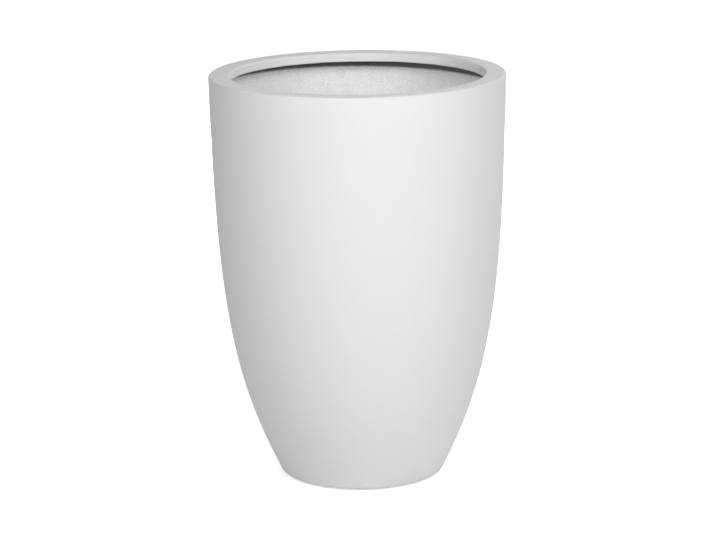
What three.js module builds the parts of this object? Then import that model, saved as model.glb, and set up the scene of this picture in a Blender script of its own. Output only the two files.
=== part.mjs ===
// Tall round fibreglass planter with a turned-in rim.
// Millimetres, +Z up. The origin is on the floor, on the planter's axis.
// Every round piece is a profile turned about that axis. Profiles are (radius, height) points,
// with heights measured from the underside of the foot unless a piece says otherwise.

import * as THREE from "three";

// ---------------------------------------------------------------- driving dimensions

// Laminated shell
const SHELL_HEIGHT = 717; // underside of the foot to the top of the rim
const TOP_RADIUS = 260;
const BASE_RADIUS = 145; // where the wall's curve reaches the plane of the foot
const WALL_THICKNESS = 6.5;
const BASE_LEAN = THREE.MathUtils.degToRad(26.6); // the wall's lean from upright at the foot
const TOP_LEAN = THREE.MathUtils.degToRad(0.7); // and at the rim
const BASE_HOLD = 0.27; // how long the wall keeps each end's lean, per unit of height
const TOP_HOLD = 0.55;
const FOOT_CORNER_RADIUS = 8;
const FOOT_WIDTH = 37; // the foot turned in under the floor, from the base radius inwards
const TOP_EDGE_RADIUS = 3;

// Turned-in rim collar
const RIM_WIDTH = 36; // flat top, from the outside of the shell to the lip
const RIM_EDGE_RADIUS = 4;
const WEB_THICKNESS = 6;
const LIP_DEPTH = 16.6;
const LIP_THICKNESS = 5;
const LIP_EDGE_RADIUS = 2;
const SKIRT_DEPTH = 20; // the leg bonded to the inside of the wall
const SKIRT_THICKNESS = 5;
const CHANNEL_FILLET = 3; // where the web meets the lip and the skirt

// Floor
const PANEL_THICKNESS = 6;
const SUMP_RADIUS = 36;
const SUMP_DEPTH = 4;
const DRAIN_RADIUS = 14;
const COVE_SIZE = 18;
const COVE_FEATHER = 1; // thickness of the cove's thin edges

// Drain plug
const PLUG_CLEARANCE = 0.3; // between the barrel and the drain hole
const PLUG_TAPER = 1; // the barrel is this much thinner at its lower end
const PLUG_REACH = 2.5; // how far the barrel stands out below the floor panel
const PLUG_CHAMFER = 1;
const PLUG_HEAD_RADIUS = 23;
const PLUG_HEAD_THICKNESS = 4;
const PLUG_HEAD_ROUND = 1.5;
const GRIP_NECK_RADIUS = 4.5;
const GRIP_NECK_LENGTH = 5;
const GRIP_KNOB_RADIUS = 8;

// Foot pads
const PAD_COUNT = 4;
const PAD_RADIUS = 11;
const PAD_THICKNESS = 2.7;
const PAD_CHAMFER = 0.6;

// Assembly
const BOND_GAP = 0.3; // glue line between bonded pieces, and under the plug's head

// Smoothness of the turned surfaces
const RING_SEGMENTS = 64;
const PLUG_SEGMENTS = 32;
const PAD_SEGMENTS = 24;
const OUTER_WALL_STEPS = 17;
const INNER_WALL_STEPS = 11;
const CORNER_STEPS = 4;
const EDGE_STEPS = 3;

// ---------------------------------------------------------------- the wall's curve

const QUARTER_TURN = Math.PI / 2;

// The outside of the wall from foot to rim: full at the belly, almost upright at the rim.
const wallCurve = new THREE.CubicBezierCurve(
  new THREE.Vector2(BASE_RADIUS, 0),
  new THREE.Vector2(
    BASE_RADIUS + BASE_HOLD * SHELL_HEIGHT * Math.sin(BASE_LEAN),
    BASE_HOLD * SHELL_HEIGHT * Math.cos(BASE_LEAN),
  ),
  new THREE.Vector2(
    TOP_RADIUS - TOP_HOLD * SHELL_HEIGHT * Math.sin(TOP_LEAN),
    SHELL_HEIGHT - TOP_HOLD * SHELL_HEIGHT * Math.cos(TOP_LEAN),
  ),
  new THREE.Vector2(TOP_RADIUS, SHELL_HEIGHT),
);

// The wall's lean from upright at a place along the curve.
function leanAt(place) {
  const along = wallCurve.getTangent(place);
  return Math.atan2(along.x, along.y);
}

// The point at a depth inside the laminate, square to the outside, at a place along the curve.
function pointInWall(place, depth) {
  const outside = wallCurve.getPoint(place);
  const lean = leanAt(place);
  return new THREE.Vector2(outside.x - depth * Math.cos(lean), outside.y + depth * Math.sin(lean));
}

// The place along the curve where the surface at that depth is at the given height, by halving.
function placeAtHeight(height, depth) {
  const HALVINGS = 40;
  let low = 0;
  let high = 1;
  for (let i = 0; i < HALVINGS; i += 1) {
    const middle = (low + high) / 2;
    if (pointInWall(middle, depth).y < height) low = middle;
    else high = middle;
  }
  return (low + high) / 2;
}

// The surface at one depth between two heights, as steps + 1 points in that order.
function wallLine(depth, fromHeight, toHeight, steps) {
  const from = placeAtHeight(fromHeight, depth);
  const to = placeAtHeight(toHeight, depth);
  return Array.from({ length: steps + 1 }, (_, i) =>
    pointInWall(THREE.MathUtils.lerp(from, to, i / steps), depth),
  );
}

// ---------------------------------------------------------------- shared heights and radii

const FACING_DEPTH = WALL_THICKNESS + BOND_GAP; // pieces bonded inside the wall start here
const LIP_RADIUS = TOP_RADIUS - RIM_WIDTH;
const SKIRT_FOOT = SHELL_HEIGHT - SKIRT_DEPTH;
const FOOT_RADIUS = BASE_RADIUS - FOOT_WIDTH;
const PANEL_UNDERSIDE = WALL_THICKNESS + BOND_GAP;
const PANEL_TOP = PANEL_UNDERSIDE + PANEL_THICKNESS;
const SUMP_FLOOR = PANEL_TOP - SUMP_DEPTH;
const COVE_FOOT = PANEL_TOP + BOND_GAP;
const COVE_TOP = COVE_FOOT + COVE_SIZE;
const SHELL_UNDERSIDE = PAD_THICKNESS + BOND_GAP; // above the floor that the pads stand on

// ---------------------------------------------------------------- profile helpers

const point = (radius, height) => new THREE.Vector2(radius, height);

// Points on a round corner, from one angle to another.
function corner(centre, radius, fromAngle, toAngle, steps) {
  return Array.from({ length: steps + 1 }, (_, i) => {
    const angle = THREE.MathUtils.lerp(fromAngle, toAngle, i / steps);
    return point(centre.x + radius * Math.cos(angle), centre.y + radius * Math.sin(angle));
  });
}

// A profile without the repeated points that two stretches share where they join.
function joined(...stretches) {
  const SAME_POINT = 1e-6;
  const points = stretches.flat();
  return points.filter((p, i) => i === 0 || p.distanceTo(points[i - 1]) > SAME_POINT);
}

const closed = (profile) => [...profile, profile[0].clone()];

// A solid of revolution about +Z from a profile that runs round the material anticlockwise.
function turned(profile, segments) {
  return new THREE.LatheGeometry(profile, segments).rotateX(QUARTER_TURN);
}

// ---------------------------------------------------------------- materials

const whitePaint = () =>
  new THREE.MeshStandardMaterial({ color: 0xe8e8e6, roughness: 0.75, metalness: 0 });
const rawLaminate = () =>
  new THREE.MeshStandardMaterial({ color: 0xb9b8b2, roughness: 0.85, metalness: 0 });
const blackRubber = () =>
  new THREE.MeshStandardMaterial({ color: 0x1d1d1f, roughness: 0.9, metalness: 0 });

function piece(name, geometry, material) {
  const mesh = new THREE.Mesh(geometry, material);
  mesh.name = name;
  return mesh;
}

// ---------------------------------------------------------------- body shell

// One laminate of even thickness: rounded foot corner, curved wall, and a foot turned in below.
function bodyShell() {
  const footCorner = placeAtHeight(FOOT_CORNER_RADIUS, FOOT_CORNER_RADIUS);
  const topEdgeHeight = SHELL_HEIGHT - TOP_EDGE_RADIUS;
  const topEdge = placeAtHeight(topEdgeHeight, TOP_EDGE_RADIUS);
  const outside = Array.from({ length: OUTER_WALL_STEPS + 1 }, (_, i) =>
    pointInWall(THREE.MathUtils.lerp(footCorner, topEdge, i / OUTER_WALL_STEPS), 0),
  );
  const profile = joined(
    [point(FOOT_RADIUS, 0)],
    corner(
      pointInWall(footCorner, FOOT_CORNER_RADIUS),
      FOOT_CORNER_RADIUS,
      -QUARTER_TURN,
      -leanAt(footCorner),
      CORNER_STEPS,
    ),
    outside,
    corner(
      pointInWall(topEdge, TOP_EDGE_RADIUS),
      TOP_EDGE_RADIUS,
      -leanAt(topEdge),
      QUARTER_TURN,
      EDGE_STEPS,
    ),
    wallLine(WALL_THICKNESS, SHELL_HEIGHT, SKIRT_FOOT, 1),
    wallLine(WALL_THICKNESS, SKIRT_FOOT, COVE_TOP, INNER_WALL_STEPS),
    wallLine(WALL_THICKNESS, COVE_TOP, PANEL_TOP, 2),
    wallLine(WALL_THICKNESS, PANEL_TOP, WALL_THICKNESS, 1),
    [point(FOOT_RADIUS, WALL_THICKNESS)],
  );
  return piece("body_shell", turned(closed(profile), RING_SEGMENTS), whitePaint());
}

// ---------------------------------------------------------------- rim collar

// A channel turned upside down: flat top flush with the shell, a short inner lip with round
// edges, and a skirt that follows the inside of the wall. It is open below.
function rimCollar() {
  const webUnderside = SHELL_HEIGHT - WEB_THICKNESS;
  const lipBack = LIP_RADIUS + LIP_THICKNESS;
  const lipFoot = SHELL_HEIGHT - LIP_DEPTH;
  const skirtBack = wallLine(FACING_DEPTH + SKIRT_THICKNESS, webUnderside, SKIRT_FOOT, 1);
  const profile = joined(
    wallLine(FACING_DEPTH, SKIRT_FOOT, SHELL_HEIGHT, 1),
    corner(
      point(LIP_RADIUS + RIM_EDGE_RADIUS, SHELL_HEIGHT - RIM_EDGE_RADIUS),
      RIM_EDGE_RADIUS,
      QUARTER_TURN,
      2 * QUARTER_TURN,
      CORNER_STEPS,
    ),
    corner(
      point(LIP_RADIUS + LIP_EDGE_RADIUS, lipFoot + LIP_EDGE_RADIUS),
      LIP_EDGE_RADIUS,
      2 * QUARTER_TURN,
      3 * QUARTER_TURN,
      EDGE_STEPS,
    ),
    [point(lipBack, lipFoot)],
    corner(
      point(lipBack + CHANNEL_FILLET, webUnderside - CHANNEL_FILLET),
      CHANNEL_FILLET,
      2 * QUARTER_TURN,
      QUARTER_TURN,
      EDGE_STEPS,
    ),
    corner(
      point(skirtBack[0].x - CHANNEL_FILLET, webUnderside - CHANNEL_FILLET),
      CHANNEL_FILLET,
      QUARTER_TURN,
      0,
      EDGE_STEPS,
    ),
    [skirtBack[1]],
  );
  return piece("rim_collar", turned(closed(profile), RING_SEGMENTS), whitePaint());
}

// ---------------------------------------------------------------- floor

// How far from the axis the cove's thin edge lies on the floor panel.
function coveToeRadius() {
  return pointInWall(placeAtHeight(COVE_FOOT, FACING_DEPTH), FACING_DEPTH).x - COVE_SIZE;
}

// A disc bedded on the foot, its edge following the wall, pressed down round the drain hole.
// Its top is divided just inside the cove, so that the ring left clear is a face by itself.
function basePanel() {
  const sumpFloorRadius = SUMP_RADIUS - SUMP_DEPTH;
  const profile = joined(
    [
      point(DRAIN_RADIUS, PANEL_UNDERSIDE - SUMP_DEPTH),
      point(sumpFloorRadius, PANEL_UNDERSIDE - SUMP_DEPTH),
      point(SUMP_RADIUS, PANEL_UNDERSIDE),
    ],
    wallLine(FACING_DEPTH, PANEL_UNDERSIDE, PANEL_TOP, 1),
    [
      point(coveToeRadius() - BOND_GAP, PANEL_TOP),
      point(SUMP_RADIUS, PANEL_TOP),
      point(sumpFloorRadius, SUMP_FLOOR),
      point(DRAIN_RADIUS, SUMP_FLOOR),
    ],
  );
  return piece("base_panel", turned(closed(profile), RING_SEGMENTS), rawLaminate());
}

// The bonding fillet between floor and wall, hollow-faced, with thin edges.
function baseCove() {
  const againstWall = wallLine(FACING_DEPTH, COVE_FOOT, COVE_TOP, 2);
  const [heel] = againstWall;
  const peak = againstWall[againstWall.length - 1];
  const face = new THREE.QuadraticBezierCurve(
    point(peak.x - COVE_FEATHER, COVE_TOP),
    point(heel.x - COVE_FEATHER, COVE_FOOT + COVE_FEATHER),
    point(coveToeRadius(), COVE_FOOT + COVE_FEATHER),
  );
  const profile = joined(
    [point(coveToeRadius(), COVE_FOOT)],
    againstWall,
    face.getPoints(CORNER_STEPS),
  );
  return piece("base_cove", turned(closed(profile), RING_SEGMENTS), rawLaminate());
}

// ---------------------------------------------------------------- drain plug

// A moulded stopper: tapered barrel, flat head and a knob to pull it by.
// Its heights are measured from the underside of its head.
function drainPlug() {
  const barrelLength = PANEL_THICKNESS + BOND_GAP + PLUG_REACH;
  const barrelRadius = DRAIN_RADIUS - PLUG_CLEARANCE;
  const tipRadius = barrelRadius - PLUG_TAPER;
  const knobHeight = PLUG_HEAD_THICKNESS + GRIP_NECK_LENGTH + GRIP_KNOB_RADIUS / 2;
  const neckAngle = -Math.acos(GRIP_NECK_RADIUS / GRIP_KNOB_RADIUS);
  const headRoundCentre = PLUG_HEAD_RADIUS - PLUG_HEAD_ROUND;
  const knob = corner(point(0, 0), GRIP_KNOB_RADIUS, neckAngle, QUARTER_TURN, 2 * CORNER_STEPS);
  const profile = joined(
    [
      point(0, -barrelLength),
      point(tipRadius - PLUG_CHAMFER, -barrelLength),
      point(tipRadius, PLUG_CHAMFER - barrelLength),
      point(barrelRadius, 0),
      point(PLUG_HEAD_RADIUS, 0),
    ],
    corner(
      point(headRoundCentre, PLUG_HEAD_THICKNESS - PLUG_HEAD_ROUND),
      PLUG_HEAD_ROUND,
      0,
      QUARTER_TURN,
      EDGE_STEPS,
    ),
    [point(GRIP_NECK_RADIUS, PLUG_HEAD_THICKNESS)],
    knob.slice(0, -1).map((p) => point(p.x, knobHeight + p.y)),
    [point(0, knobHeight + GRIP_KNOB_RADIUS)],
  );
  const plug = piece("drain_plug", turned(profile, PLUG_SEGMENTS), blackRubber());
  plug.position.z = SUMP_FLOOR + BOND_GAP;
  return plug;
}

// ---------------------------------------------------------------- foot pads

// A plain rubber disc, standing on the floor, with its lower edge broken.
function padGeometry() {
  return turned(
    [
      point(0, 0),
      point(PAD_RADIUS - PAD_CHAMFER, 0),
      point(PAD_RADIUS, PAD_CHAMFER),
      point(PAD_RADIUS, PAD_THICKNESS),
      point(0, PAD_THICKNESS),
    ],
    PAD_SEGMENTS,
  );
}

// The pads stand evenly round the flat of the foot, turned half a step off the front.
function footPads() {
  const footCorner = placeAtHeight(FOOT_CORNER_RADIUS, FOOT_CORNER_RADIUS);
  const flatEdge = pointInWall(footCorner, FOOT_CORNER_RADIUS).x;
  const ringRadius = (FOOT_RADIUS + flatEdge) / 2;
  const pads = new THREE.Group();
  for (let i = 0; i < PAD_COUNT; i += 1) {
    const angle = ((i + 0.5) / PAD_COUNT) * 4 * QUARTER_TURN;
    const pad = piece(`foot_pad_${i + 1}`, padGeometry(), blackRubber());
    pad.position.set(ringRadius * Math.cos(angle), ringRadius * Math.sin(angle), 0);
    pad.rotation.z = angle;
    pads.add(pad);
  }
  return pads;
}

// ---------------------------------------------------------------- assembly

const vessel = new THREE.Group();
vessel.add(bodyShell(), rimCollar(), basePanel(), baseCove(), drainPlug());
vessel.position.z = SHELL_UNDERSIDE;

const planter = new THREE.Group();
planter.add(vessel, footPads());

export default planter;
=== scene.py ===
"""Looks for a tall round fibreglass planter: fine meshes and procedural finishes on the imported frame.

Metres, +Z up, with the origin on the floor under the planter's axis. Every round piece is a profile
of (radius, height) points turned about that axis.
"""

import math
from functools import reduce
from typing import NamedTuple

import bmesh
import bpy
import numpy as np
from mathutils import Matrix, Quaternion, Vector


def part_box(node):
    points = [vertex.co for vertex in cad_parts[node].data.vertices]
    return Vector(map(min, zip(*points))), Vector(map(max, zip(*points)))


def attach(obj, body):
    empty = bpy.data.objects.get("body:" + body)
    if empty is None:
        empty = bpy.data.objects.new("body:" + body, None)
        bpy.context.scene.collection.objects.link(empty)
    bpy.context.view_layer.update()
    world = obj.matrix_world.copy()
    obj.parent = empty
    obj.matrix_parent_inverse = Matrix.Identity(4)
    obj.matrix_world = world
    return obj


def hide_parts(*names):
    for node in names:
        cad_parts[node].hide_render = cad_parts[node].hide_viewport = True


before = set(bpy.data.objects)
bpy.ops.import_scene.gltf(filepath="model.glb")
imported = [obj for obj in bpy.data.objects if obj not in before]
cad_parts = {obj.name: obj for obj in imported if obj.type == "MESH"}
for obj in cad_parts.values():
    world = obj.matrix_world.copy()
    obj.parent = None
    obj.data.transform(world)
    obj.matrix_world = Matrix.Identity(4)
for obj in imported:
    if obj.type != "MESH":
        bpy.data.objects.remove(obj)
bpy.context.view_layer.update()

# ------------------------------------------------------------------ sizes
# Heights come from the frame. The wall's curve and the laminate's sizes are the solids' own.

# Laminated shell
FOOT_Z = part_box("body_shell")[0].z
RIM_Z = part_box("body_shell")[1].z
SHELL_HEIGHT = RIM_Z - FOOT_Z
TOP_RADIUS = 0.260
BASE_RADIUS = 0.145  # where the wall's curve reaches the plane of the foot
WALL_THICKNESS = 0.0065
BASE_LEAN = math.radians(26.6)  # the wall's lean from upright at the foot
TOP_LEAN = math.radians(0.7)  # and at the rim
BASE_HOLD = 0.27 * SHELL_HEIGHT  # how long the wall keeps each end's lean
TOP_HOLD = 0.55 * SHELL_HEIGHT
FOOT_CORNER_RADIUS = 0.008
FOOT_WIDTH = 0.037  # the foot turned in under the floor, from the base radius inwards
FOOT_RADIUS = BASE_RADIUS - FOOT_WIDTH
TOP_EDGE_RADIUS = 0.003

BOND_GAP = 0.0003  # glue line between bonded pieces, and under the plug's head
BOND_DEPTH = WALL_THICKNESS + BOND_GAP  # from the outside of the wall to what is bonded inside

# Turned-in rim collar
RIM_WIDTH = 0.036  # flat top, from the outside of the shell to the lip
RIM_EDGE_RADIUS = 0.004
WEB_THICKNESS = 0.006
LIP_RADIUS = TOP_RADIUS - RIM_WIDTH
LIP_DEPTH = 0.0166
LIP_Z = RIM_Z - LIP_DEPTH
LIP_THICKNESS = 0.005
LIP_EDGE_RADIUS = 0.002
SKIRT_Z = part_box("rim_collar")[0].z
SKIRT_THICKNESS = 0.005
CHANNEL_FILLET = 0.003  # where the web meets the lip and the skirt
PAINT_DEPTH = 0.0008  # how far the paint fills the joint between shell and collar

# Floor
PANEL_THICKNESS = 0.006
PANEL_TOP_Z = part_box("base_panel")[1].z
PANEL_UNDER_Z = PANEL_TOP_Z - PANEL_THICKNESS
SUMP_RADIUS = 0.036
SUMP_DEPTH = 0.004
DRAIN_RADIUS = 0.014
COVE_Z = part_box("base_cove")[0].z
COVE_TOP_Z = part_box("base_cove")[1].z
COVE_SIZE = COVE_TOP_Z - COVE_Z
COVE_FEATHER = 0.001  # thickness of the cove's thin edges

# Drain plug
PLUG_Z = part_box("drain_plug")[0].z
PLUG_CLEARANCE = 0.0003  # between the barrel and the drain hole
PLUG_RADIUS = DRAIN_RADIUS - PLUG_CLEARANCE
PLUG_TAPER = 0.001  # the barrel is this much thinner at its lower end
PLUG_TIP_ROUND = 0.001
HEAD_Z = PANEL_TOP_Z - SUMP_DEPTH + BOND_GAP
HEAD_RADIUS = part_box("drain_plug")[1].x
HEAD_THICKNESS = 0.004
HEAD_LOWER_ROUND = 0.0008
HEAD_UPPER_ROUND = 0.0015
RING_RADII = (0.0150, 0.0185)  # a raised ring on the head
RING_RISE = 0.0006
NECK_RADIUS = 0.0045
NECK_FILLET = 0.0015
KNOB_RADIUS = 0.008
KNOB_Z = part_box("drain_plug")[1].z - KNOB_RADIUS
SEAM_RISE = 0.00015  # the knob's moulding seam
SEAM_WIDTH = 0.0003

PAD_EDGE_RADIUS = 0.0006


def add_object(name, data):
    made = bpy.data.objects.new(name, data)
    bpy.context.scene.collection.objects.link(made)
    return made


# ------------------------------------------------------------------ the photograph's camera
# Found by fitting the outline and the rim of the planter in the photograph.

EYE = Vector((0, -4.637, RIM_Z + 0.7577))
LOOK_DOWN = math.radians(13.493)
LOOK_LEFT = math.radians(0.041)
ROLL = math.radians(0.798)
LENS_MM = 134.8
SENSOR_MM = 36


def make_camera():
    data = bpy.data.cameras.new("camera")
    data.sensor_width = SENSOR_MM
    data.lens = LENS_MM
    camera = add_object("camera", data)
    ahead = Vector((-math.sin(LOOK_LEFT), math.cos(LOOK_LEFT), -math.tan(LOOK_DOWN)))
    level = ahead.to_track_quat("-Z", "Y")
    camera.location = EYE
    camera.rotation_mode = "QUATERNION"
    camera.rotation_quaternion = level @ Quaternion((0, 0, 1), -ROLL)
    bpy.context.scene.camera = camera


# ------------------------------------------------------------------ shader nodes


class Nodes:
    """Adds nodes to one tree and links them. Most calls return the new node's output."""

    def __init__(self, tree):
        self.tree = tree
        tree.nodes.clear()

    def add(self, kind, inputs=None, **settings):
        """The new node itself. Each input is a constant or another node's output."""
        node = self.tree.nodes.new("ShaderNode" + kind)
        for key, value in settings.items():
            setattr(node, key, value)
        for key, value in (inputs or {}).items():
            if isinstance(value, bpy.types.NodeSocket):
                self.tree.links.new(value, node.inputs[key])
            else:
                node.inputs[key].default_value = value
        return node

    def math(self, operation, *values):
        return self.add("Math", dict(enumerate(values)), operation=operation).outputs[0]

    def folded(self, operation, values):
        """All the values taken together, one after another."""
        return reduce(lambda one, other: self.math(operation, one, other), values)

    def weighed(self, *parts):
        """The sum of (value, weight) parts."""
        return self.folded("ADD", [self.math("MULTIPLY", *part) for part in parts])

    def span(self, value, reach=(0.0, 1.0), to=(0.0, 1.0)):
        """The value's place between the two ends of its reach, eased and mapped to another pair."""
        inputs = dict(enumerate((value, *reach, *to)))
        return self.add("MapRange", inputs, interpolation_type="SMOOTHSTEP").outputs[0]

    def mix(self, factor, first, second):
        inputs = {0: factor, 6: first, 7: second}
        return self.add("Mix", inputs, data_type="RGBA").outputs[2]

    def place(self):
        """Where the shaded point is on its own object, in metres."""
        return self.add("TexCoord").outputs["Object"]

    def parts(self, vector):
        """The vector's x, y and z."""
        return self.add("SeparateXYZ", {0: vector}).outputs

    def noise(self, vector, scale, detail=2.0, roughness=0.5):
        inputs = {"Vector": vector, "Scale": scale, "Detail": detail, "Roughness": roughness}
        return self.add("TexNoise", inputs).outputs[0]

    def bump(self, height, distance, strength, normal=None):
        inputs = {"Height": height, "Distance": distance, "Strength": strength}
        if normal is not None:
            inputs["Normal"] = normal
        return self.add("Bump", inputs).outputs[0]

    def seen_directly(self):
        """1 on rays from the camera and on those that a shine or glass sends on, else 0."""
        path = self.add("LightPath").outputs
        either = self.math("MAXIMUM", path["Is Camera Ray"], path["Is Glossy Ray"])
        return self.math("MAXIMUM", either, path["Is Transmission Ray"])


def finish_of(build):
    """A material named after build(nodes), which adds its nodes and returns the shader's inputs."""
    material = bpy.data.materials.new(build.__name__)
    material.use_nodes = True
    nodes = Nodes(material.node_tree)
    surface = nodes.add("BsdfPrincipled", build(nodes))
    nodes.add("OutputMaterial", {"Surface": surface.outputs[0]})
    return material


# ------------------------------------------------------------------ light, floor and background

WHITE = (1, 1, 1, 1)
WORLD_LIGHT = 0.09
FLOOR_HALF = 40
FLOOR_CORNERS = ((-1, -1), (1, -1), (1, 1), (-1, 1))
FLOOR_Z = -0.0002  # just clear of the pads
FLOOR_COLOUR = (0.9, 0.9, 0.9, 1)
GLOW_BESIDE = 0.55  # how much white is added to the floor, where it is seen, beside the planter
GLOW_AFAR = 0.9  # and far from it
GLOW_REACH = (0.6, 3.5)  # the distances between which that changes

AIM = Vector((0, 0, 0.4))
LAMP_DISTANCE = 3.5
LAMPS = {
    # name: (degrees to the right of the camera, degrees up, side, power)
    "key": (30, 32, 1.8, 66.9),
    "left_fill": (-30, 32, 1.8, 47.6),
    "right_fill": (90, 18, 1.8, 5.5),
    "back_fill": (150, 32, 1.8, 36.6),
    "rear_fill": (180, 2, 0.8, 34.0),
}


def softbox(name, azimuth, elevation, side, power):
    """A square area lamp aimed at the planter's middle. The camera doesn't see it."""
    turn, lift = math.radians(azimuth), math.radians(elevation)
    ground = Vector((math.sin(turn), -math.cos(turn), 0)) * math.cos(lift)
    away = ground + Vector((0, 0, math.sin(lift)))
    data = bpy.data.lights.new(name, "AREA")
    data.size = side
    data.energy = power
    lamp = add_object(name, data)
    lamp.location = AIM + away * LAMP_DISTANCE
    lamp.rotation_euler = (-away).to_track_quat("-Z", "Y").to_euler()
    lamp.visible_camera = False


def make_world():
    """White where it is seen, and a weak even light on everything else."""
    world = bpy.data.worlds.new("studio")
    world.use_nodes = True
    nodes = Nodes(world.node_tree)
    strength = nodes.span(nodes.seen_directly(), to=(WORLD_LIGHT, 1.0))
    background = nodes.add("Background", {"Color": WHITE, "Strength": strength})
    nodes.add("OutputWorld", {"Surface": background.outputs[0]})
    bpy.context.scene.world = world


def pale_floor(nodes):
    """Pale grey that is lifted to white where it is seen, and keeps the planter's shadow."""
    away = nodes.add("VectorMath", {0: nodes.place()}, operation="LENGTH").outputs["Value"]
    lift = nodes.span(away, GLOW_REACH, to=(GLOW_BESIDE, GLOW_AFAR))
    return {
        "Base Color": FLOOR_COLOUR,
        "Roughness": 0.9,
        "Emission Color": WHITE,
        "Emission Strength": nodes.math("MULTIPLY", nodes.seen_directly(), lift),
    }


def make_floor():
    mesh = bpy.data.meshes.new("floor")
    corners = [(x * FLOOR_HALF, y * FLOOR_HALF, 0) for x, y in FLOOR_CORNERS]
    mesh.from_pydata(corners, [], [range(len(corners))])
    mesh.materials.append(finish_of(pale_floor))
    floor = add_object("floor", mesh)
    floor.location.z = FLOOR_Z


# ------------------------------------------------------------------ finishes
# Scales are per metre. Bump distances are in metres.

NOISE_REACH = (0.3, 0.7)  # where nearly all of a noise lies

# Paint: the tones that each finish ranges between, and those that it greys to
SMOOTH_TONES = (0.737, 0.748)
# The rim's flat top is a darker copy of the paint, as painted shade; its lip a lighter copy, as painted
# light
TOP_PAINTED_SHADE_TONES = (0.690, 0.738)
LIP_PAINTED_LIGHT_TONES = (0.805, 0.856)
# The inside's white is lighter than the outside's, as painted light where less light reaches
MAT_PAINTED_LIGHT_TONES = (0.970, 0.985)
# Painted shade in the mat's hollows, at its low spots and in pits
HOLLOW_SHADE_TONE = 0.8
LOW_SPOT_SHADE_TONE = 0.81
SPECK_COLOUR = (0.2, 0.2, 0.195, 1)
# Painted shade close under the lip: the colour the inner wall darkens to there
UNDER_LIP_SHADE_COLOUR = (0.205, 0.204, 0.199, 1)
BLUE_SHARE = 0.997  # a grey's blue, as a share of its red and green
PAINT_SPECULAR = 0.3
ORANGE_PEEL_SCALE = 520.0
ORANGE_PEEL_DEPTH = 0.00004
LIP_LIGHT_TO_TOP_SHADE_REACH = (RIM_Z - RIM_EDGE_RADIUS, RIM_Z - 0.0003)  # from the lip's tones to the top's

# Painted shade close under the lip: a few millimetres that lean and wander a little
UNDER_LIP_SHADE_CLEAR_Z = RIM_Z - 0.0318
UNDER_LIP_SHADE_DARK_Z = RIM_Z - 0.0272
UNDER_LIP_SHADE_TILT = 0.012
UNDER_LIP_SHADE_WANDER = 0.002

# Specks: pinholes and grit, one to a cell
SPECK_CELLS = 75.0
SPECKLESS_SHARE = 0.8  # of the cells
SPECK_SIZES = (0.05, 0.12)  # in cells
SPECK_STRENGTHS = (0.15, 0.6)

# Glass strands: ridges in noise that is drawn out in each of these directions
STRAND_TURNS = (
    (0.2, 0.15, 0.1),
    (1.3, -0.1, 1.65),
    (0.7, 1.35, 0.5),
    (0.5, -0.6, 0.8),
    (1.0, 0.65, 2.3),
    (-0.7, 0.55, -0.75),
)
STRAND_GRAIN = (0.022, 0.0024, 0.0024)  # along and across a strand
STRAND_FLANK = 0.07  # how far the noise is from its middle at a ridge's foot

# The other finishes: the colours that each ranges between
RESIN_COLOURS = ((0.20, 0.195, 0.18, 1), (0.33, 0.32, 0.295, 1))
GLASS_COLOUR = (0.52, 0.51, 0.47, 1)
# Painted shade: a darker copy of the bare laminate, for the rim's hollow channel
CHANNEL_PAINTED_SHADE_COLOURS = ((0.10, 0.098, 0.093, 1), (0.16, 0.158, 0.15, 1))
PASTE_COLOURS = ((0.80, 0.80, 0.787, 1), (0.90, 0.90, 0.89, 1))
RUBBER_COLOURS = ((0.018, 0.018, 0.019, 1), (0.05, 0.05, 0.049, 1))


def grey(tone):
    """A neutral colour of that tone, a touch warm."""
    return (tone, tone, tone * BLUE_SHARE, 1)


def greys(tones):
    return [grey(tone) for tone in tones]


def ridges_one_way(nodes, place, turn):
    """Thin ridges, 0 to 1, drawn out in one direction."""
    inputs = {"Vector": place, "Rotation": turn, "Scale": STRAND_GRAIN}
    laid = nodes.add("Mapping", inputs, vector_type="TEXTURE")
    wave = nodes.noise(laid.outputs[0], scale=1.0, detail=1.0)
    off_middle = nodes.math("ABSOLUTE", nodes.math("SUBTRACT", wave, 0.5))
    return nodes.span(off_middle, (0.0, STRAND_FLANK), to=(1.0, 0.0))


def strands(nodes, place):
    """How high the glass strands stand, 0 to 1: thin ridges lying in several directions."""
    return nodes.folded("MAXIMUM", [ridges_one_way(nodes, place, turn) for turn in STRAND_TURNS])


def streaks(nodes, place, across, along):
    """Noise drawn out round the planter's axis, as sanding and spraying leave it on a rim."""
    flat = nodes.add("VectorMath", {0: place, 1: (1, 1, 0)}, operation="MULTIPLY").outputs[0]
    heading = nodes.add("VectorMath", {0: flat}, operation="NORMALIZE").outputs[0]
    radius = nodes.add("VectorMath", {0: flat}, operation="LENGTH").outputs["Value"]
    height = nodes.parts(place)[2]
    drawn = nodes.add("VectorMath", {0: heading, "Scale": along}, operation="SCALE").outputs[0]
    rise = nodes.add("CombineXYZ", {2: nodes.math("MULTIPLY", height, across)}).outputs[0]
    vector = nodes.add("VectorMath", {0: drawn, 1: rise}, operation="ADD").outputs[0]
    inputs = {"Vector": vector, "W": nodes.math("MULTIPLY", radius, across), "Scale": 1.0}
    return nodes.add("TexNoise", inputs, noise_dimensions="4D").outputs[0]


def specks(nodes, place):
    """Above 0 at a few scattered pinholes and bits of grit in the paint, else 0."""
    cells = nodes.add("TexVoronoi", {"Vector": place, "Scale": SPECK_CELLS})
    pick, size, strength = nodes.add("SeparateColor", {0: cells.outputs["Color"]}).outputs
    chosen = nodes.math("GREATER_THAN", pick, SPECKLESS_SHARE)
    near = nodes.math("LESS_THAN", cells.outputs["Distance"], nodes.span(size, to=SPECK_SIZES))
    return nodes.folded("MULTIPLY", [near, chosen, nodes.span(strength, to=SPECK_STRENGTHS)])


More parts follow.
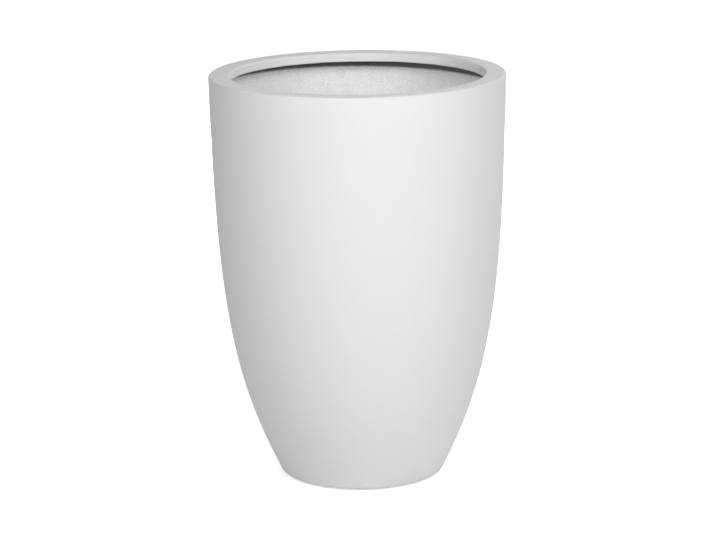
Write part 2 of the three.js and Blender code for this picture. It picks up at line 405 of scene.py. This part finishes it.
def under_lip_painted_shade(nodes, place):
    """1 close under the lip, where the wall is darkened as painted shade, and 0 below."""
    x, _, z = nodes.parts(place)
    wander = nodes.math("SUBTRACT", nodes.noise(place, scale=60.0, detail=3.0), 0.5)
    tilted = nodes.math("ADD", z, nodes.math("MULTIPLY", x, UNDER_LIP_SHADE_TILT))
    height = nodes.math("ADD", tilted, nodes.math("MULTIPLY", wander, UNDER_LIP_SHADE_WANDER))
    return nodes.span(height, (UNDER_LIP_SHADE_CLEAR_Z, UNDER_LIP_SHADE_DARK_Z))


def smooth_paint(nodes):
    """Matt white paint, faintly clouded, with a fine orange peel."""
    place = nodes.place()
    cloud = nodes.noise(place, scale=7.0, detail=3.0)
    sheen = nodes.noise(place, scale=90.0, detail=3.0)
    orange_peel = nodes.noise(place, ORANGE_PEEL_SCALE)
    return {
        "Base Color": nodes.mix(cloud, *greys(SMOOTH_TONES)),
        "Roughness": nodes.span(sheen, (0.2, 0.8), to=(0.7, 0.8)),
        "Specular IOR Level": PAINT_SPECULAR,
        "Normal": nodes.bump(orange_peel, ORANGE_PEEL_DEPTH, strength=0.3),
    }


def streaked_rim_paint_with_painted_light(nodes):
    """The same paint on the rim, with marks running round it. Its flat top is darker as painted shade,
    its lip lighter as painted light.
    """
    place = nodes.place()
    marks = streaks(nodes, place, across=420.0, along=9.0)
    bands = streaks(nodes, place, across=150.0, along=4.0)
    shade = nodes.span(nodes.weighed((marks, 0.4), (bands, 0.6)), (0.3, 0.62))
    # Painted light on the lip and painted shade on the flat top
    lip = nodes.mix(shade, *greys(LIP_PAINTED_LIGHT_TONES))
    top = nodes.mix(shade, *greys(TOP_PAINTED_SHADE_TONES))
    height = nodes.parts(place)[2]
    orange_peel = nodes.noise(place, ORANGE_PEEL_SCALE)
    rubbed = nodes.bump(marks, distance=0.00012, strength=0.7)
    return {
        "Base Color": nodes.mix(nodes.span(height, LIP_LIGHT_TO_TOP_SHADE_REACH), lip, top),
        "Roughness": nodes.span(bands, NOISE_REACH, to=(0.66, 0.8)),
        "Specular IOR Level": PAINT_SPECULAR,
        "Normal": nodes.bump(orange_peel, ORANGE_PEEL_DEPTH, strength=0.6, normal=rubbed),
    }


def mat_white(nodes, place, ridges, grit, thin):
    """White, lighter than the outside's as painted light, with painted shade between the strands, at
    low spots and in pits, and grey at specks.
    """
    white = nodes.mix(nodes.span(thin, NOISE_REACH), *greys(MAT_PAINTED_LIGHT_TONES))
    # Painted shade at low spots of the grit and strands, between the strands, and in pits
    low_spot_shade = nodes.span(nodes.weighed((grit, 0.75), (ridges, 0.25)), (0.32, 0.54), to=(0.25, 0.0))
    white = nodes.mix(low_spot_shade, white, grey(LOW_SPOT_SHADE_TONE))
    strand_gap_shade = nodes.span(ridges, to=(0.5, 0.0))
    white = nodes.mix(strand_gap_shade, white, grey(HOLLOW_SHADE_TONE))
    pits = nodes.span(nodes.noise(place, scale=400.0, detail=0.0), (0.38, 0.6), to=(0.7, 0.0))
    patches = nodes.noise(place, scale=55.0, detail=3.0, roughness=0.7)
    patches = nodes.span(patches, (0.35, 0.65), to=(0.4, 1.0))
    white = nodes.mix(nodes.math("MULTIPLY", pits, patches), white, grey(HOLLOW_SHADE_TONE))
    return nodes.mix(specks(nodes, place), white, SPECK_COLOUR)


def paint_over_mat(nodes):
    """White paint over glass mat, lighter than the outside's as painted light, with painted shade in
    its hollows and close under the lip.
    """
    place = nodes.place()
    ridges = strands(nodes, place)
    lumps = nodes.noise(place, scale=95.0, detail=4.0, roughness=0.6)
    grit = nodes.noise(place, scale=270.0, detail=4.0, roughness=0.75)
    thin = nodes.noise(place, scale=34.0, detail=3.0, roughness=0.6)
    white = mat_white(nodes, place, ridges, grit, thin)
    relief = nodes.weighed((ridges, 0.5), (lumps, 0.6), (grit, 0.5))
    return {
        "Base Color": nodes.mix(under_lip_painted_shade(nodes, place), white, UNDER_LIP_SHADE_COLOUR),
        "Roughness": nodes.span(thin, NOISE_REACH, to=(0.66, 0.85)),
        "Specular IOR Level": PAINT_SPECULAR,
        "Normal": nodes.bump(relief, distance=0.0006, strength=0.8),
    }


def raw_laminate(nodes):
    """Bare resin and glass mat, left as it was laid, on sides that aren't meant to be seen."""
    place = nodes.place()
    ridges = strands(nodes, place)
    cloud = nodes.noise(place, scale=22.0, detail=4.0, roughness=0.6)
    resin = nodes.mix(cloud, *RESIN_COLOURS)
    return {
        "Base Color": nodes.mix(nodes.math("MULTIPLY", ridges, 0.35), resin, GLASS_COLOUR),
        "Roughness": nodes.span(cloud, NOISE_REACH, to=(0.38, 0.6)),
        "Normal": nodes.bump(nodes.math("ADD", ridges, cloud), distance=0.0005, strength=0.8),
    }


def channel_laminate_painted_shade(nodes):
    """The hollow back of the rim: bare laminate, darker than that elsewhere as painted shade."""
    place = nodes.place()
    cloud = nodes.noise(place, scale=40.0, detail=3.0)
    return {
        "Base Color": nodes.mix(cloud, *CHANNEL_PAINTED_SHADE_COLOURS),
        "Roughness": 0.7,
        "Normal": nodes.bump(strands(nodes, place), distance=0.0004, strength=0.8),
    }


def bonding_paste(nodes):
    """Filled resin spread by hand into the corner, then painted with the inside."""
    smear = nodes.noise(nodes.place(), scale=55.0, detail=4.0, roughness=0.65)
    return {
        "Base Color": nodes.mix(smear, *PASTE_COLOURS),
        "Roughness": nodes.span(smear, NOISE_REACH, to=(0.5, 0.7)),
        "Normal": nodes.bump(smear, distance=0.0008, strength=0.7),
    }


def black_rubber(nodes):
    """Moulded black rubber with a faint bloom of dust."""
    place = nodes.place()
    grain = nodes.noise(place, scale=1500.0)
    dust = nodes.noise(place, scale=120.0, detail=5.0, roughness=0.7)
    dust = nodes.span(dust, (0.5, 0.75))
    return {
        "Base Color": nodes.mix(dust, *RUBBER_COLOURS),
        "Roughness": nodes.span(dust, to=(0.6, 0.85)),
        "Normal": nodes.bump(grain, distance=0.00005, strength=0.6),
    }


# ------------------------------------------------------------------ lines of a profile

OUT = 0  # directions in a profile, as angles from straight away from the axis
UP = math.pi / 2
IN = math.pi
DOWN = -math.pi / 2


def straight(first, last, steps):
    return np.linspace(first, last, steps + 1)


def corner(centre, size, start, end, steps):
    """Points on a round corner, from one direction to another, or on an oval one of two sizes."""
    angles = np.linspace(start, end, steps + 1)
    return centre + size * np.c_[np.cos(angles), np.sin(angles)]


def bezier(points, places):
    """Points at places from 0 to 1 along the Bezier curve with these control points."""
    t = np.atleast_1d(places)[:, None]
    last = len(points) - 1
    return sum(
        math.comb(last, i) * (1 - t) ** (last - i) * t**i * point for i, point in enumerate(points)
    )


# The outside of the wall from foot to rim: full at the belly, almost upright at the rim.
WALL_CURVE = np.array(
    [
        (BASE_RADIUS, FOOT_Z),
        (BASE_RADIUS + BASE_HOLD * math.sin(BASE_LEAN), FOOT_Z + BASE_HOLD * math.cos(BASE_LEAN)),
        (TOP_RADIUS - TOP_HOLD * math.sin(TOP_LEAN), RIM_Z - TOP_HOLD * math.cos(TOP_LEAN)),
        (TOP_RADIUS, RIM_Z),
    ]
)
WALL_PLACES = np.linspace(0, 1, 4001)  # among which a height is looked up


def wall_points(places, depth):
    """Points that deep in the laminate, at places from 0 at the foot to 1 at the rim."""
    along = bezier(np.diff(WALL_CURVE, axis=0), places)
    along /= np.linalg.norm(along, axis=1)[:, None]
    inward = np.c_[-along[:, 1], along[:, 0]]
    return bezier(WALL_CURVE, places) + depth * inward


def wall_lean(place):
    """The wall's lean from upright at a place along its curve."""
    step = 1e-4
    low, high = wall_points([place - step, place + step], 0)
    return math.atan2(high[0] - low[0], high[1] - low[1])


def place_at(height, depth):
    """The place along the curve where the surface at that depth is at that height."""
    return np.interp(height, wall_points(WALL_PLACES, depth)[:, 1], WALL_PLACES)


def wall_line(depth, from_z, to_z, steps):
    """Points between two heights on the surface at that depth, evenly spread along its curve."""
    places = np.linspace(place_at(from_z, depth), place_at(to_z, depth), steps + 1)
    return wall_points(places, depth)


# Where the inside of the shell meets the flat top, as a line of one point
JOINT = wall_points(place_at(RIM_Z, WALL_THICKNESS), WALL_THICKNESS)


# ------------------------------------------------------------------ relief

MAT_CELL = 0.0008
MAT_BLUR = 0.0016
MAT_RELIEF = 0.00013  # height of one standard deviation of the mat's thickness
STRANDS_PER_M2 = 16000
STRAND_STEPS = 56
STRAND_LENGTH = 0.045
STRAND_LENGTH_SPREAD = (0.7, 1.3)
STRAND_BEND = 0.25

RIPPLE_WAVES = (3, 5, 8, 13, 21, 34)  # to the ring


def scattered_strands(width, height, rng):
    """The x and the y of points along bent strands that lie all over a sheet of that size."""
    count = round(STRANDS_PER_M2 * width * height)
    turn = rng.uniform(0, math.pi, count)[:, None]
    bend = rng.normal(0, STRAND_BEND, count)[:, None]
    length = STRAND_LENGTH * rng.uniform(*STRAND_LENGTH_SPREAD, count)[:, None]
    along = np.linspace(-0.5, 0.5, STRAND_STEPS)[None, :]
    heading = turn + bend * along * 2
    x = rng.uniform(0, width, count)[:, None] + length * along * np.cos(heading)
    y = rng.uniform(0, height, count)[:, None] + length * along * np.sin(heading)
    return x, y


def laid_mat(width, height, seed):
    """A map of how thick the glass strands lie, as standard deviations, on cells of MAT_CELL.

    It repeats across its width and its height.
    """
    across, up = round(width / MAT_CELL), round(height / MAT_CELL)
    x, y = scattered_strands(width, height, np.random.default_rng(seed))
    rows, columns = np.floor(y / MAT_CELL).astype(int), np.floor(x / MAT_CELL).astype(int)
    laid = np.zeros((up, across))
    np.add.at(laid, (rows % up, columns % across), 1.0)
    # A Gaussian blur of the map's waves, so that the map still repeats
    waves = np.hypot(*np.meshgrid(np.fft.fftfreq(across, MAT_CELL), np.fft.fftfreq(up, MAT_CELL)))
    blur = np.exp(-2 * (math.pi * MAT_BLUR * waves) ** 2)
    soft = np.fft.ifft2(np.fft.fft2(laid) * blur).real
    return (soft - soft.mean()) / soft.std()


def sample(laid, x, y):
    """The mat's thickness at points, in metres along its two sides, between its cells."""
    up, across = laid.shape
    u, v = x / MAT_CELL - 0.5, y / MAT_CELL - 0.5
    left, low = np.floor(u).astype(int), np.floor(v).astype(int)
    a, b = u - left, v - low
    rows, columns = (low % up, (low + 1) % up), (left % across, (left + 1) % across)
    lower = laid[rows[0], columns[0]] * (1 - a) + laid[rows[0], columns[1]] * a
    upper = laid[rows[1], columns[0]] * (1 - a) + laid[rows[1], columns[1]] * a
    return lower * (1 - b) + upper * b


def eased(value, low, high):
    """0 up to low and 1 from high on, with a smooth change between. low may be the larger."""
    share = np.clip((value - low) / (high - low), 0, 1)
    return share * share * (3 - 2 * share)


def ripple(turn, seed):
    """An uneven line round a ring, within about 1 either way."""
    rng = np.random.default_rng(seed)
    count = len(RIPPLE_WAVES)
    phases = rng.uniform(0, 2 * math.pi, count)
    sizes = rng.uniform(0.5, 1.0, count) / np.sqrt(count)
    return sum(s * np.sin(w * turn + p) for s, w, p in zip(sizes, RIPPLE_WAVES, phases))


# ------------------------------------------------------------------ turned meshes

SHARP = math.radians(35)
SAME_POINT = 1e-7


class Stretch(NamedTuple):
    """Part of a profile: its points, the number of its finish, and whether the relief moves it."""

    line: np.ndarray
    finish: int = 0
    uneven: bool = False


def joined(stretches):
    """The profile's points, each once, and the number of the stretch that each one is on."""
    points = np.concatenate([stretch.line for stretch in stretches])
    numbers = np.repeat(np.arange(len(stretches)), [len(stretch.line) for stretch in stretches])
    fresh = np.r_[True, np.hypot(*np.diff(points, axis=0).T) > SAME_POINT]
    return points[fresh], numbers[fresh]


def ring_faces(rings, segments):
    """Four-sided faces between each ring of points and the next."""
    here = np.arange(segments)
    beyond = np.roll(here, -1)
    low = np.arange(rings - 1)[:, None] * segments
    high = low + segments
    faces = np.stack([low + here, low + beyond, high + beyond, high + here], axis=2)
    return faces.reshape(-1, 4)


def weld(mesh):
    """Joins the points that lie on each other, on the axis and where a profile closes."""
    edit = bmesh.new()
    edit.from_mesh(mesh)
    bmesh.ops.remove_doubles(edit, verts=edit.verts, dist=SAME_POINT)
    edit.to_mesh(mesh)
    edit.free()


def turned(name, stretches, finishes, segments, relief=None):
    """A closed mesh turned about +Z from a profile, which goes round its material anticlockwise.

    The profile starts and ends on the axis, or it ends where it starts. relief(radius, height,
    turn) returns the radius and height that points on uneven stretches get instead of their own.
    """
    points, numbers = joined(stretches)
    turn = np.linspace(0, 2 * math.pi, segments, endpoint=False)
    radius = np.repeat(points[:, :1], segments, axis=1)
    height = np.repeat(points[:, 1:], segments, axis=1)
    if relief:
        uneven = np.array([stretches[i].uneven for i in numbers])[:, None]
        moved = relief(radius, height, turn)
        radius, height = np.where(uneven, moved, (radius, height))
    vertices = np.stack([radius * np.cos(turn), radius * np.sin(turn), height], axis=2)
    faces = ring_faces(len(points), segments)
    mesh = bpy.data.meshes.new(name)
    mesh.from_pydata(vertices.reshape(-1, 3).tolist(), [], faces.tolist())
    for finish in finishes:
        mesh.materials.append(finish)
    worn = np.array([stretches[i].finish for i in numbers[1:]], np.int32)
    mesh.polygons.foreach_set("material_index", np.repeat(worn, segments))
    weld(mesh)
    mesh.shade_smooth()
    mesh.set_sharp_from_angle(angle=SHARP)
    return add_object(name, mesh)


# ------------------------------------------------------------------ the pieces

SHELL_SEGMENTS = 440
RIM_SEGMENTS = 384
PANEL_SEGMENTS = 220
PLUG_SEGMENTS = 96
PAD_SEGMENTS = 64

NEAR_RIM = 0.11  # the upper part of the inner wall, which the mouth shows, has finer steps
WALL_MAT_SEED = 11
WALL_MAT_RANGE = (-2, 3)  # the mat's thickness is held between these, in standard deviations
PANEL_MAT_SEED = 12
PANEL_MAT_RANGE = (-2, 1.5)
PANEL_MAT_SIDE = 2.2 * BASE_RADIUS  # of the square sheet that the panel is cut from
MAT_FADE = 0.01  # the wall's relief fades out over this height above the floor panel
SKIRT_FADE = 0.002  # and over this height below the skirt
HEAD_FADE = 0.004  # the panel's fades out over this width round the plug's head
PANEL_EDGE_FADE = (0.001, 0.006)  # and between these distances from the panel's edge

LIP_SEED = 3
LIP_WANDER = 0.0003
LIP_WANDER_REACH = 0.006  # how far up from the lip's lower edge it wanders
COVE_TOE_SEED = 5
COVE_TOP_SEED = 6
COVE_WANDER = 0.0011
COVE_STEADY_SHARE = 0.4  # of the cove's size, from its heel, where it doesn't wander


def make_shell(paint, mat_paint, laminate):
    """The laminate: smooth painted outside, painted glass mat inside, bare under the foot."""
    smooth, mat, bare = range(3)
    foot = place_at(FOOT_Z + FOOT_CORNER_RADIUS, FOOT_CORNER_RADIUS)
    top = place_at(RIM_Z - TOP_EDGE_RADIUS, TOP_EDGE_RADIUS)
    foot_centre = wall_points(foot, FOOT_CORNER_RADIUS)[0]
    top_centre = wall_points(top, TOP_EDGE_RADIUS)[0]
    low_inside = (FOOT_RADIUS, FOOT_Z + WALL_THICKNESS)
    stretches = [
        Stretch(straight((FOOT_RADIUS, FOOT_Z), (foot_centre[0], FOOT_Z), 4), bare),
        Stretch(corner(foot_centre, FOOT_CORNER_RADIUS, DOWN, -wall_lean(foot), 7), smooth),
        Stretch(wall_points(np.linspace(foot, top, 45), 0), smooth),
        Stretch(corner(top_centre, TOP_EDGE_RADIUS, -wall_lean(top), UP, 5), smooth),
        Stretch(JOINT, smooth),
        Stretch(wall_line(WALL_THICKNESS, RIM_Z, RIM_Z - NEAR_RIM, 52), mat, uneven=True),
        Stretch(wall_line(WALL_THICKNESS, RIM_Z - NEAR_RIM, low_inside[1], 100), mat, uneven=True),
        Stretch(straight(low_inside, (FOOT_RADIUS, FOOT_Z), 1), bare),
    ]
    girth = 2 * math.pi * TOP_RADIUS
    laid = laid_mat(girth, SHELL_HEIGHT, WALL_MAT_SEED)

    def relief(radius, height, turn):
        thick = sample(laid, turn / (2 * math.pi) * girth, height - FOOT_Z)
        above_panel = eased(height, PANEL_TOP_Z, PANEL_TOP_Z + MAT_FADE)
        below_skirt = eased(height, SKIRT_Z, SKIRT_Z - SKIRT_FADE)
        rise = MAT_RELIEF * (np.clip(thick, *WALL_MAT_RANGE) - WALL_MAT_RANGE[0])
        return radius - rise * (above_panel * below_skirt), height

    return turned("shell", stretches, [paint, mat_paint, laminate], SHELL_SEGMENTS, relief)


def make_rim(paint, laminate):
    """The turned-in rim. Its paint closes the joint with the shell on the flat top."""
    painted, bare = range(2)
    lip_back = LIP_RADIUS + LIP_THICKNESS
    fillet_z = RIM_Z - WEB_THICKNESS - CHANNEL_FILLET
    skirt = wall_line(BOND_DEPTH, SKIRT_Z, RIM_Z - PAINT_DEPTH, 2)
    skirt_back = wall_line(BOND_DEPTH + SKIRT_THICKNESS, fillet_z, SKIRT_Z, 2)
    edge_centre = np.array((LIP_RADIUS + RIM_EDGE_RADIUS, RIM_Z - RIM_EDGE_RADIUS))
    lip_centre = np.array((LIP_RADIUS + LIP_EDGE_RADIUS, LIP_Z + LIP_EDGE_RADIUS))
    near_lip = (lip_back + CHANNEL_FILLET, fillet_z)
    near_skirt = (skirt_back[0][0] - CHANNEL_FILLET, fillet_z)
    face = straight((LIP_RADIUS, edge_centre[1]), (LIP_RADIUS, lip_centre[1]), 6)
    stretches = [
        Stretch(skirt, bare),
        Stretch(straight(skirt[-1], JOINT[0], 1), painted),
        Stretch(straight(JOINT[0], (edge_centre[0], RIM_Z), 6), painted),
        Stretch(corner(edge_centre, RIM_EDGE_RADIUS, UP, IN, 8), painted),
        Stretch(face, painted, uneven=True),
        Stretch(corner(lip_centre, LIP_EDGE_RADIUS, IN, IN + UP, 6), painted, uneven=True),
        Stretch(straight((lip_centre[0], LIP_Z), (lip_back, LIP_Z), 2), bare, uneven=True),
        Stretch(straight((lip_back, LIP_Z), (lip_back, fillet_z), 3), bare, uneven=True),
        Stretch(corner(near_lip, CHANNEL_FILLET, IN, UP, 4), bare),
        Stretch(corner(near_skirt, CHANNEL_FILLET, UP, OUT, 4), bare),
        Stretch(skirt_back, bare),
        Stretch(straight(skirt_back[-1], skirt[0], 1), bare),
    ]

    def relief(radius, height, turn):
        low = eased(height, LIP_Z + LIP_WANDER_REACH, LIP_Z)
        return radius, height + low * LIP_WANDER * ripple(turn, LIP_SEED)

    return turned("rim", stretches, [paint, laminate], RIM_SEGMENTS, relief)


def make_floor_panel(mat_paint, laminate):
    """The floor inside, dished round the drain hole: glass mat above and below."""
    mat, bare = range(2)
    under, top = PANEL_UNDER_Z, PANEL_TOP_Z
    sump_under, sump_top = under - SUMP_DEPTH, top - SUMP_DEPTH
    flat_radius = SUMP_RADIUS - SUMP_DEPTH
    edge = wall_line(BOND_DEPTH, under, top, 2)
    edge_radius = edge[0][0]
    stretches = [
        Stretch(straight((DRAIN_RADIUS, sump_under), (flat_radius, sump_under), 5), bare),
        Stretch(straight((flat_radius, sump_under), (SUMP_RADIUS, under), 2), bare),
        Stretch(straight((SUMP_RADIUS, under), edge[0], 20), bare, uneven=True),
        Stretch(edge, bare),
        Stretch(straight(edge[-1], (SUMP_RADIUS, top), 40), mat, uneven=True),
        Stretch(straight((SUMP_RADIUS, top), (flat_radius, sump_top), 4), mat, uneven=True),
        Stretch(straight((flat_radius, sump_top), (DRAIN_RADIUS, sump_top), 9), mat),
        Stretch(straight((DRAIN_RADIUS, sump_top), (DRAIN_RADIUS, sump_under), 2), bare),
    ]
    laid = laid_mat(PANEL_MAT_SIDE, PANEL_MAT_SIDE, PANEL_MAT_SEED)
    middle = PANEL_MAT_SIDE / 2

    def relief(radius, height, turn):
        x, y = radius * np.cos(turn) + middle, radius * np.sin(turn) + middle
        rise = MAT_RELIEF * np.clip(sample(laid, x, y), *PANEL_MAT_RANGE)
        off_head = eased(radius, HEAD_RADIUS, HEAD_RADIUS + HEAD_FADE)
        off_edge = eased(radius, *(edge_radius - fade for fade in PANEL_EDGE_FADE))
        return radius, height + rise * (off_head * off_edge)

    return turned("floor_panel", stretches, [mat_paint, laminate], PANEL_SEGMENTS, relief)


def make_cove(paste):
    """The bonding fillet, spread by hand, so its edges wander a little."""
    wall = wall_line(BOND_DEPTH, COVE_Z, COVE_TOP_Z, 6)
    heel, peak = wall[0], wall[-1]
    toe = np.array((heel[0] - COVE_SIZE, COVE_Z))
    inward, upward = np.array((-COVE_FEATHER, 0)), np.array((0, COVE_FEATHER))
    bend = [peak + inward, heel + inward + upward, toe + upward]
    face = bezier(bend, np.linspace(0, 1, 13))
    lines = [
        straight(toe, heel, 4),
        wall,
        straight(peak, face[0], 1),
        face,
        straight(face[-1], toe, 1),
    ]

    def relief(radius, height, turn):
        steady = COVE_SIZE * COVE_STEADY_SHARE
        toe_share = eased(heel[0] - radius, steady, COVE_SIZE)
        top_share = eased(height, COVE_Z + steady, COVE_TOP_Z)
        radius = radius + toe_share * COVE_WANDER * ripple(turn, COVE_TOE_SEED)
        return radius, height - top_share * COVE_WANDER * (1 + ripple(turn, COVE_TOP_SEED))

    stretches = [Stretch(line, uneven=True) for line in lines]
    return turned("cove", stretches, [paste], PANEL_SEGMENTS, relief)


def make_plug(rubber):
    """The stopper: tapered barrel, round-edged head with a raised ring, and a knob to pull."""
    tip = PLUG_RADIUS - PLUG_TAPER
    tip_centre = np.array((tip - PLUG_TIP_ROUND, PLUG_Z + PLUG_TIP_ROUND))
    head_top = HEAD_Z + HEAD_THICKNESS
    lower_centre = np.array((HEAD_RADIUS - HEAD_LOWER_ROUND, HEAD_Z + HEAD_LOWER_ROUND))
    upper_centre = np.array((HEAD_RADIUS - HEAD_UPPER_ROUND, head_top - HEAD_UPPER_ROUND))
    ring_in, ring_out = RING_RADII
    ring_centre = ((ring_in + ring_out) / 2, head_top)
    ring_size = ((ring_out - ring_in) / 2, RING_RISE)
    neck_centre = np.array((NECK_RADIUS + NECK_FILLET, head_top + NECK_FILLET))
    knob_start = -math.acos(NECK_RADIUS / KNOB_RADIUS)
    neck_top = KNOB_Z + KNOB_RADIUS * math.sin(knob_start)
    lines = [
        straight((0, PLUG_Z), (tip_centre[0], PLUG_Z), 4),
        corner(tip_centre, PLUG_TIP_ROUND, DOWN, OUT, 4),
        straight((tip, tip_centre[1]), (PLUG_RADIUS, HEAD_Z), 6),
        straight((PLUG_RADIUS, HEAD_Z), (lower_centre[0], HEAD_Z), 3),
        corner(lower_centre, HEAD_LOWER_ROUND, DOWN, OUT, 4),
        corner(upper_centre, HEAD_UPPER_ROUND, OUT, UP, 6),
        straight((upper_centre[0], head_top), (ring_out, head_top), 2),
        corner(ring_centre, ring_size, OUT, IN, 8),
        straight((ring_in, head_top), (neck_centre[0], head_top), 3),
        corner(neck_centre, NECK_FILLET, DOWN, -IN, 4),
        straight((NECK_RADIUS, neck_centre[1]), (NECK_RADIUS, neck_top), 2),
    ]
    knob = corner((0, KNOB_Z), KNOB_RADIUS, knob_start, UP, 24)

    def relief(radius, height, turn):
        seam = np.exp(-(((height - KNOB_Z) / SEAM_WIDTH) ** 2))
        return radius - SEAM_RISE + SEAM_RISE * seam, height

    stretches = [Stretch(line) for line in lines] + [Stretch(knob, uneven=True)]
    return turned("plug", stretches, [rubber], PLUG_SEGMENTS, relief)


def make_pad(node, rubber):
    """A round rubber pad, its edges softened, where the frame has one."""
    low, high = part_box(node)
    radius, middle = (high.x - low.x) / 2, (low + high) / 2
    edge = PAD_EDGE_RADIUS
    lines = [
        straight((0, low.z), (radius - edge, low.z), 5),
        corner((radius - edge, low.z + edge), edge, DOWN, OUT, 4),
        corner((radius - edge, high.z - edge), edge, OUT, UP, 4),
        straight((radius - edge, high.z), (0, high.z), 5),
    ]
    pad = turned("pad_" + node[-1], [Stretch(line) for line in lines], [rubber], PAD_SEGMENTS)
    pad.location = (middle.x, middle.y, 0)
    return pad


def put(piece, body, slot, *nodes):
    """The piece stands for those nodes and moves with their body."""
    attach(piece, body)
    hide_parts(*nodes)


# ------------------------------------------------------------------ the scene

bpy.context.scene.view_settings.view_transform = "Standard"
make_camera()
make_world()
make_floor()
for name, numbers in LAMPS.items():
    softbox(name, *numbers)

paint = finish_of(smooth_paint)
rim_paint = finish_of(streaked_rim_paint_with_painted_light)
mat_paint = finish_of(paint_over_mat)
laminate = finish_of(raw_laminate)
channel_shade_laminate = finish_of(channel_laminate_painted_shade)
paste = finish_of(bonding_paste)
rubber = finish_of(black_rubber)

put(make_shell(paint, mat_paint, laminate), "vessel", "painted_laminate", "body_shell")
put(make_rim(rim_paint, channel_shade_laminate), "vessel", "painted_laminate", "rim_collar")
put(make_floor_panel(mat_paint, laminate), "vessel", "raw_laminate", "base_panel")
put(make_cove(paste), "vessel", "bonding_paste", "base_cove")
put(make_plug(rubber), "plug", "plug_rubber", "drain_plug")
for node in sorted(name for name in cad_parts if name.startswith("foot_pad_")):
    put(make_pad(node, rubber), "vessel", "pad_rubber", node)
